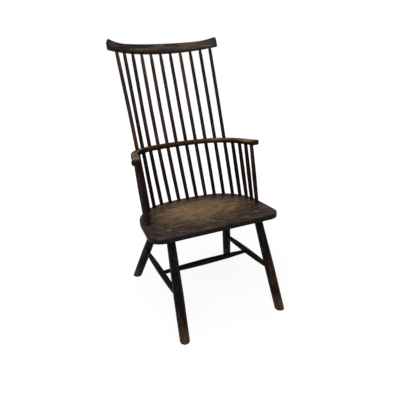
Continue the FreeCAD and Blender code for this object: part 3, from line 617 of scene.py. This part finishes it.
@dataclass(frozen=True)
class ArmWood(StainedWood):
    """The arm bow: its top rubbed to ochre where hands lie, with a painted sheen on the left hand
    end.

    Attributes:
        sheen_grey: the painted sheen, a grey drawn over the bare wood of the left hand end.
        middle: the height of the bow's middle plane at the origin.
        climb: how steeply that plane climbs forwards.
        roll: how steeply it climbs to the right.
        top: how far up a worn face looks.
        side: how far above the plane the sides are worn.
        right: where the sides are worn more, towards the right.
        side_wear: how far the sides are worn, and how much more towards the right.
        arms: how far from the middle the arms begin.
        back_wear: how far the bow is worn behind, as a share of its arms.
        patch_wear: how far it is worn between the patches that hands have rubbed.
        ends: where the hand ends turn dark in front.
        skew: how steeply that edge runs back towards the right.
        sheen_side: where the painted sheen begins, towards the left.
        sheen_front: where it begins, towards the front.
    """

    sheen_grey: Colour = stain(128, 116, 98)
    middle: float = 0.6586
    climb: float = 0.0734
    roll: float = 0.005
    top: Span = (0.7, 0.95)
    side: Span = (0.0, 0.005)
    right: Span = (0.05, 0.2)
    side_wear: tuple[float, float] = (0.2, 0.7)
    arms: Span = (0.1, 0.2)
    back_wear: float = 0.6
    patch_wear: float = 0.55
    ends: Span = (-0.122, -0.088)
    skew: float = 0.19
    sheen_side: Span = (-0.215, -0.24)
    sheen_front: Span = (0.06, 0.0)

    def bare_wood(self, paint: Paint) -> Value | float:
        """The upper face and the upper part of the sides, most of all on the arms.

        Args:
            paint: the material that is being made.

        Returns:
            How far the stain is gone, from 0 to 1.
        """
        x, y, z = paint.place()
        ragged = paint.noise(Grain(12.0, 60.0, 4.0, 0.62, 0.3))
        arms = self.back_wear + (1 - self.back_wear) * x.abs().ramp(*self.arms)
        patches = self.patch_wear + (1 - self.patch_wear) * ragged.ramp(*HANDLED)
        above = z - self.roll * x + self.climb * y - self.middle
        sides = self.side_wear[0] + self.side_wear[1] * x.ramp(*self.right)
        upper = paint.facing().ramp(*self.top).most(above.ramp(*self.side) * sides)
        return arms * patches * upper * (y - self.skew * x.most(0.0)).ramp(*self.ends)

    def bare_colour(self, paint: Paint) -> Value | Colour:
        """Ochre, and greyer on the left hand end, where a painted sheen lies over it.

        Args:
            paint: the material that is being made.

        Returns:
            The colour of the bare wood, with its painted sheen.
        """
        x, y, _ = paint.place()
        # Painted sheen: the bare wood of the left hand end is drawn grey, as if it caught the
        # light.
        sheen_grey = x.ramp(*self.sheen_side) * y.ramp(*self.sheen_front)
        return paint.mix(sheen_grey, self.bare, self.sheen_grey)


class Lay(Enum):
    """How the grain lies on a timber."""

    STRAIGHT = "along its longest direction"
    LEVEL = "from side to side of the chair"
    BENT = "along its bent middle line"


@dataclass(frozen=True)
class Bend:
    """The middle line of a bent timber, in plan: arcs that run on from each other, each side alike.

    Attributes:
        middle: the middle of the line.
        arcs: the radius and the length of each arc, from the middle outwards.
    """

    middle: Vector
    arcs: Sequence[tuple[float, float]]

    def line(self) -> np.ndarray:
        """Steps along the arcs to the right, and mirrors them for the left.

        Returns:
            Points from the line's left end to its right end, in plan, one a row.
        """
        point, heading = Vector((0.0, 0.0)), 0.0
        half = [point.copy()]
        for radius, length in self.arcs:
            for _ in range(max(1, round(length / LINE_STEP))):
                heading -= LINE_STEP / radius
                point = point + Vector((math.cos(heading), math.sin(heading))) * LINE_STEP
                half.append(point.copy())
        right = np.array([[p.x, p.y] for p in half])
        left = right[:0:-1] * [-1, 1]
        return np.concatenate([left, right]) + [self.middle.x, self.middle.y]

    def lay(self, points: np.ndarray) -> np.ndarray:
        """Turns points of the bent piece into distances along and across its line.

        Args:
            points: the piece's points, one a row.

        Returns:
            For each point, how far along the line it is, how far beside it, and its height.
        """
        line = self.line()
        gaps = points[:, None, :2] - line[None, :, :]
        near = np.argmin((gaps ** 2).sum(axis=2), axis=1)
        steps = np.linalg.norm(np.diff(line, axis=0), axis=1)
        travelled = np.concatenate([[0.0], np.cumsum(steps)])
        heading = np.gradient(line, axis=0)
        heading /= np.linalg.norm(heading, axis=1)[:, None]
        gap = gaps[np.arange(len(points)), near]
        along = travelled[near] + (gap * heading[near]).sum(axis=1)
        beside = gap[:, 0] * -heading[near][:, 1] + gap[:, 1] * heading[near][:, 0]
        return np.stack([along, beside, points[:, 2]], axis=1)


def lay_straight(points: np.ndarray) -> np.ndarray:
    """Turns points of a straight piece into distances along and across it.

    Args:
        points: the piece's points, one a row.

    Returns:
        For each point, how far along its longest direction it is, and how far beside it.
    """
    middle = points - points.mean(axis=0)
    _, axes = np.linalg.eigh(middle.T @ middle)
    return middle @ axes[:, ::-1]


@dataclass
class Timber:
    """One finished piece, made from the solid of its node.

    Attributes:
        node: the node that it replaces.
        finish: its material.
        slot: its material slot in the library.
        ease: how far its arrises are rounded.
        tone: how thin the stain lies on it.
        red: how red the stain is on it.
        seed: where in the noise its own grain lies.
        lay: how the grain lies on it.
        line: its middle line, if it is bent.
        sharp: the angle in degrees above which an edge shows as sharp.
    """

    node: str
    finish: bpy.types.Material
    slot: str
    ease: float = 0.0
    tone: float = 1.0
    red: float = 0.0
    seed: int = 1
    lay: Lay = Lay.STRAIGHT
    line: Bend | None = None
    sharp: float = 38.0

    def build(self, solid: bpy.types.Object) -> bpy.types.Object:
        """Makes the piece, dresses it and puts it in the place of its node.

        Args:
            solid: the node's object in the frame.

        Returns:
            The finished piece.
        """
        mesh = self.eased(solid.data)
        piece = bpy.data.objects.new(self.node + "_timber", mesh)
        bpy.context.scene.collection.objects.link(piece)
        mesh.materials.clear()
        mesh.materials.append(self.finish)
        self.carry(mesh)
        normals = piece.modifiers.new("broad_faces", "WEIGHTED_NORMAL")
        normals.keep_sharp = True
        normals.weight = BROAD_FACE_WEIGHT
        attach(piece, BODY)
        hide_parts(self.node)
        return piece

    def eased(self, source: bpy.types.Mesh) -> bpy.types.Mesh:
        """A copy of the solid with its flats made whole and its arrises eased.

        Args:
            source: the solid's mesh.

        Returns:
            The new mesh, with each eased face marked as arris.
        """
        work = bmesh.new()
        work.from_mesh(source)
        bmesh.ops.remove_doubles(work, verts=work.verts, dist=SAME_POINT)
        bmesh.ops.dissolve_limit(
            work, angle_limit=math.radians(FLAT_DEGREES), use_dissolve_boundaries=False,
            verts=work.verts, edges=work.edges, delimit=set(),
        )
        arris = work.faces.layers.float.new("arris")
        edges = [edge for edge in work.edges if self.is_arris(edge)]
        if self.ease and edges:
            made = bmesh.ops.bevel(
                work, geom=edges, offset=self.ease, offset_type="OFFSET",
                segments=ARRIS_SEGMENTS, profile=ARRIS_ROUNDNESS, affect="EDGES",
                clamp_overlap=True,
            )
            for face in made["faces"]:
                face[arris] = 1.0
        mesh = bpy.data.meshes.new(self.node + "_timber")
        work.to_mesh(mesh)
        work.free()
        mesh.shade_smooth()
        mesh.set_sharp_from_angle(angle=math.radians(self.sharp))
        return mesh

    def is_arris(self, edge: bmesh.types.BMEdge) -> bool:
        """Whether the edge joins two faces, stands out and is sharp enough to be eased."""
        steep = edge.calc_face_angle(0.0) > math.radians(ARRIS_DEGREES)
        return len(edge.link_faces) == 2 and edge.is_convex and steep

    def laid(self, points: np.ndarray) -> np.ndarray:
        """Lays the grain along the timber.

        Args:
            points: the timber's points, one a row.

        Returns:
            For each point, how far along the grain it is, and how far beside it.
        """
        if self.lay is Lay.BENT:
            return self.line.lay(points)
        return points if self.lay is Lay.LEVEL else lay_straight(points)

    def carry(self, mesh: bpy.types.Mesh) -> None:
        """Gives the mesh what its finish reads: the grain, and how the piece took the stain.

        Args:
            mesh: the timber's mesh, which carries its arris already.
        """
        points = np.empty(len(mesh.vertices) * 3, np.float32)
        mesh.vertices.foreach_get("co", points)
        laid = self.laid(points.reshape(-1, 3).astype(float)) + self.seed * GRAIN_SHIFT
        grain = mesh.attributes.new("grain", "FLOAT_VECTOR", "POINT")
        grain.data.foreach_set("vector", laid.astype(np.float32).ravel())
        for name, level in (("tone", self.tone), ("red", self.red)):
            held = mesh.attributes.new(name, "FLOAT", "POINT")
            held.data.foreach_set("value", np.full(len(mesh.vertices), level, np.float32))


@dataclass
class Plank:
    """The seat and the wedges that show in its top.

    Attributes:
        seat_finish, wedge_finish: their stains.
        ease: how far the seat's arrises are rounded.
        seed: where in the noise the seat's grain lies.
        corners: the corners that have a wedge.
    """

    seat_finish: StainedWood
    wedge_finish: StainedWood
    ease: float = 0.0012
    seed: int = 2
    corners: Sequence[str] = ("front_left", "front_right", "rear_left", "rear_right")

    def timbers(self) -> Iterable[Timber]:
        """Names each piece with its finish.

        Returns:
            The seat, then the four wedges.
        """
        wood = self.seat_finish.paint()
        yield Timber(
            "seat", wood, "seat_wood", ease=self.ease, lay=Lay.LEVEL, seed=self.seed
        )
        wood = self.wedge_finish.paint()
        for number, corner in enumerate(self.corners):
            yield Timber("leg_wedge_" + corner, wood, "wedge_wood", seed=number)


@dataclass
class Undercarriage:
    """Four shaved legs and the three stretchers that tie them.

    Attributes:
        leg_finish, rail_finish: their stains.
        leg_ease: how far the arrises of the legs are rounded.
        leg_seed, rail_seed: where in the noise the grain of the first of them lies.
        rail_sharp: the angle in degrees above which an edge of a stretcher shows as sharp.
        legs, rails: the nodes that they replace.
    """

    leg_finish: StainedWood
    rail_finish: StainedWood
    leg_ease: float = 0.0022
    leg_seed: int = 11
    rail_seed: int = 21
    rail_sharp: float = 40.0
    legs: Sequence[str] = ("front_leg_left", "front_leg_right", "rear_leg_left", "rear_leg_right")
    rails: Sequence[str] = ("side_stretcher_left", "side_stretcher_right", "middle_stretcher")

    def timbers(self) -> Iterable[Timber]:
        """Names each piece with its finish.

        Returns:
            The legs, then the stretchers.
        """
        wood = self.leg_finish.paint()
        for seed, leg in enumerate(self.legs, self.leg_seed):
            yield Timber(leg, wood, "leg_wood", ease=self.leg_ease, seed=seed)
        wood = self.rail_finish.paint()
        for seed, rail in enumerate(self.rails, self.rail_seed):
            yield Timber(rail, wood, "leg_wood", seed=seed, sharp=self.rail_sharp)


@dataclass
class Bow:
    """The arm bow.

    Attributes:
        finish: its stain.
        line: its middle line.
        ease: how far its arrises are rounded.
        seed: where in the noise its grain lies.
    """

    finish: StainedWood
    line: Bend
    ease: float = 0.0008
    seed: int = 5

    def timbers(self) -> Iterable[Timber]:
        """Names the piece with its finish.

        Returns:
            The one bent rail.
        """
        wood = self.finish.paint()
        yield Timber(
            "arm_bow", wood, "arm_wood", ease=self.ease, lay=Lay.BENT, line=self.line,
            seed=self.seed,
        )


@dataclass
class Comb:
    """The crest rail.

    Attributes:
        finish: its stain.
        line: its middle line.
        ease: how far its arrises are rounded.
        seed: where in the noise its grain lies.
    """

    finish: StainedWood
    line: Bend
    ease: float = 0.001
    seed: int = 7

    def timbers(self) -> Iterable[Timber]:
        """Names the piece with its finish.

        Returns:
            The one curved rail.
        """
        wood = self.finish.paint()
        yield Timber(
            "comb", wood, "comb_wood", ease=self.ease, lay=Lay.BENT, line=self.line,
            seed=self.seed,
        )


@dataclass
class Sticks:
    """The eleven long sticks of the back and the four short ones under each arm.

    Attributes:
        finish: the stain that they share.
        tones: the tone and the red of each stick that took the stain otherwise than the rest.
        usual: the tone and the red of the rest.
        long_count: how many long sticks there are.
        short_count: how many short sticks an arm has.
        seed: where in the noise the grain of the first stick lies.
        sharp: the angle in degrees above which an edge of a stick shows as sharp.
    """

    finish: StainedWood
    tones: dict[str, tuple[float, float]] = field(default_factory=dict)
    usual: tuple[float, float] = (0.6, 0.15)
    long_count: int = 11
    short_count: int = 4
    seed: int = 31
    sharp: float = 40.0

    def timbers(self) -> Iterable[Timber]:
        """Names each stick with its own tone.

        Returns:
            The long sticks, then the short ones of each arm.
        """
        wood = self.finish.paint()
        names = ["long_stick_%02d" % (number + 1) for number in range(self.long_count)]
        names += [
            "arm_stick_%s_%d" % (side, number + 1)
            for side in ("left", "right") for number in range(self.short_count)
        ]
        for seed, name in enumerate(names, self.seed):
            tone, red = self.tones.get(name, self.usual)
            yield Timber(
                name, wood, "stick_wood", tone=tone, red=red, seed=seed, sharp=self.sharp
            )


@dataclass
class Studio:
    """A pale floor, soft light and the camera of the photograph.

    Attributes:
        eye: where the camera stands.
        yaw, pitch, roll: its turn in radians, to the right, down and about its own axis.
        lens, sensor: its focal length and width in millimetres.
        shift: the share of the picture's width that its middle is moved.
        sky: how strongly the surround lights the chair.
        aim: the spot that the lamps face.
        reach: how far the floor reaches each way.
        bounce: how much light the floor throws back on the chair.
        shaded: how much of the floor's white, as seen, comes from the lamps.
        glow, far_glow: its own light near the chair, and what is added far away.
        far: how far away that begins, and where it is full.
    """

    eye: Vector = field(default_factory=lambda: Vector((-0.6016, -1.5072, 1.0286)))
    yaw: float = 0.3952
    pitch: float = 0.3554
    roll: float = -0.0491
    lens: float = 34.782
    sensor: float = 36.0
    shift: float = -0.000625
    sky: float = 0.28
    aim: Vector = field(default_factory=lambda: Vector((0.0, 0.0, 0.55)))
    reach: float = 14.0
    bounce: float = 0.6
    shaded: float = 0.15
    glow: float = 0.9
    far_glow: float = 0.12
    far: Span = (0.5, 2.2)

    def build(self) -> None:
        """Puts up the camera, the floor, the lamps and the world."""
        self.camera()
        self.floor()
        self.lamp("key_softbox", spot=(-0.9, -1.3, 3.0), width=2.2, power=52.0)
        self.lamp("top_softbox", spot=(0.3, 1.2, 3.0), width=2.0, power=20.0)
        self.world()

    def camera(self) -> None:
        """The camera, where the photograph was taken from."""
        ahead = Vector((
            math.sin(self.yaw) * math.cos(self.pitch),
            math.cos(self.yaw) * math.cos(self.pitch),
            -math.sin(self.pitch),
        ))
        level = Vector((math.cos(self.yaw), -math.sin(self.yaw), 0.0))
        above = level.cross(ahead)
        right = math.cos(self.roll) * level + math.sin(self.roll) * above
        up = -math.sin(self.roll) * level + math.cos(self.roll) * above
        turn = Matrix((right, up, -ahead)).transposed().to_4x4()
        data = bpy.data.cameras.new("photo_camera")
        data.sensor_fit = "HORIZONTAL"
        data.sensor_width = self.sensor
        data.lens = self.lens
        data.shift_x = self.shift
        data.clip_start, data.clip_end = 0.05, 60.0
        camera = bpy.data.objects.new("photo_camera", data)
        bpy.context.scene.collection.objects.link(camera)
        camera.matrix_world = Matrix.Translation(self.eye) @ turn
        bpy.context.scene.camera = camera

    def lamp(self, name: str, spot: tuple[float, float, float], width: float, power: float) -> None:
        """Hangs one soft box that faces the middle of the chair.

        Args:
            name: the lamp's name.
            spot: where it hangs.
            width: the side of its square.
            power: its power in watts.
        """
        data = bpy.data.lights.new(name, "AREA")
        data.shape = "SQUARE"
        data.size = width
        data.energy = power
        lamp = bpy.data.objects.new(name, data)
        bpy.context.scene.collection.objects.link(lamp)
        turn = (self.aim - Vector(spot)).to_track_quat("-Z", "Y").to_matrix().to_4x4()
        lamp.matrix_world = Matrix.Translation(spot) @ turn

    def floor(self) -> None:
        """A wide pale floor that looks white and keeps the chair's faint shadow."""
        mesh = bpy.data.meshes.new("studio_floor")
        turns = ((-1, -1), (1, -1), (1, 1), (-1, 1))
        corners = [(across * self.reach, fore * self.reach, 0) for across, fore in turns]
        mesh.from_pydata(corners, [], [(0, 1, 2, 3)])
        paint = Paint(bpy.data.materials.new("studio_floor"))
        seen = paint.node("ShaderNodeLightPath", {}, {}, "Is Camera Ray")
        real = paint.node("ShaderNodeBsdfDiffuse", {}, {"Color": grey(self.bounce)})
        x, y, _ = paint.place()
        far = ((x * x + y * y) ** 0.5).ramp(*self.far)
        faint = paint.node("ShaderNodeBsdfDiffuse", {}, {"Color": grey(self.shaded)})
        glow = paint.node("ShaderNodeEmission", {}, {"Color": self.glow + self.far_glow * far})
        white = paint.node("ShaderNodeAddShader", {}, {0: faint, 1: glow})
        both = paint.node("ShaderNodeMixShader", {}, {0: seen, 1: real, 2: white})
        mesh.materials.append(paint.close(both))
        floor = bpy.data.objects.new("studio_floor", mesh)
        bpy.context.scene.collection.objects.link(floor)

    def world(self) -> None:
        """An even white surround: fully white to the camera, softer as light."""
        paint = Paint(bpy.data.worlds.new("studio_air"))
        seen = paint.node("ShaderNodeLightPath", {}, {}, "Is Camera Ray")
        soft = paint.node("ShaderNodeBackground", {}, {"Color": grey(1.0), "Strength": self.sky})
        bright = paint.node("ShaderNodeBackground", {}, {"Color": grey(1.0), "Strength": 1.0})
        both = paint.node("ShaderNodeMixShader", {}, {0: seen, 1: soft, 2: bright})
        bpy.context.scene.world = paint.close(both, "ShaderNodeOutputWorld")


# The finishes of this chair, the middle lines of its bent timbers and the tones of its sticks.
BLACK = stain(13, 10, 10)
SEAT_STAIN = SeatWood(
    "seat_stain", stain(17, 14, 14), stain(84, 62, 50), stain(146, 118, 80), run=16.0, fibre=180.0,
    rubbed=0.75, gloss=0.34, shine=0.2, mottle=Grain(20.0, 52.0, 4.0, 0.62, 0.6),
)
WEDGE_STAIN = StainedWood(
    "wedge_stain", stain(84, 72, 56), stain(116, 102, 80), stain(128, 114, 92)
)
LEG_STAIN = LegWood("leg_stain", BLACK, stain(80, 48, 36), stain(116, 92, 64), rubbed=0.3)
RAIL_STAIN = StainedWood("stretcher_stain", BLACK, stain(44, 35, 31), stain(80, 64, 50))
ARM_STAIN = ArmWood("arm_stain", BLACK, stain(62, 38, 28), stain(174, 131, 72), shine=0.16)
COMB_STAIN = CombWood(
    "comb_stain", stain(30, 23, 20), stain(94, 75, 60), stain(104, 82, 62), shine=0.2
)
# The stick stain also carries painted light and shade: lighter above the arm bow, darker below it.
STICK_STAIN = StickWood("stick_stain", BLACK, stain(86, 60, 52), stain(92, 70, 56))
MIDDLE_LINE = 0.0063
ARM_LINE = Bend(Vector((MIDDLE_LINE, 0.206)), ((0.44, 0.1075), (0.1875, 0.198), (0.485, 0.25)))
COMB_LINE = Bend(Vector((MIDDLE_LINE, 0.3516)), ((0.362, 0.34),))
STICK_TONES = {
    "long_stick_01": (1.2, 0.5),
    "long_stick_02": (0.5, 0.1),
    "long_stick_04": (1.3, 0.5),
    "long_stick_05": (0.9, 0.4),
    "long_stick_08": (1.2, 0.45),
    "long_stick_09": (0.7, 0.1),
    "arm_stick_left_3": (0.8, 0.5),
    "arm_stick_left_4": (1.0, 0.75),
    "arm_stick_right_1": (0.4, 0.0),
    "arm_stick_right_4": (1.0, 0.7),
}


def main() -> None:
    """Loads the frame, finishes each sub-assembly in turn and lights the chair."""
    logging.basicConfig(level=logging.INFO, format="%(name)s: %(message)s")
    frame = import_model()
    bpy.context.scene.view_settings.view_transform = "Standard"
    Studio().build()

    assemblies = (
        Plank(SEAT_STAIN, WEDGE_STAIN),
        Undercarriage(LEG_STAIN, RAIL_STAIN),
        Bow(ARM_STAIN, ARM_LINE),
        Comb(COMB_STAIN, COMB_LINE),
        Sticks(STICK_STAIN, STICK_TONES),
    )
    for assembly in assemblies:
        for timber in assembly.timbers():
            piece = timber.build(frame["nodes"][timber.node])
            LOG.info("%s: %d faces, %s", piece.name, len(piece.data.polygons), timber.finish.name)


if __name__ == "__main__":
    main()
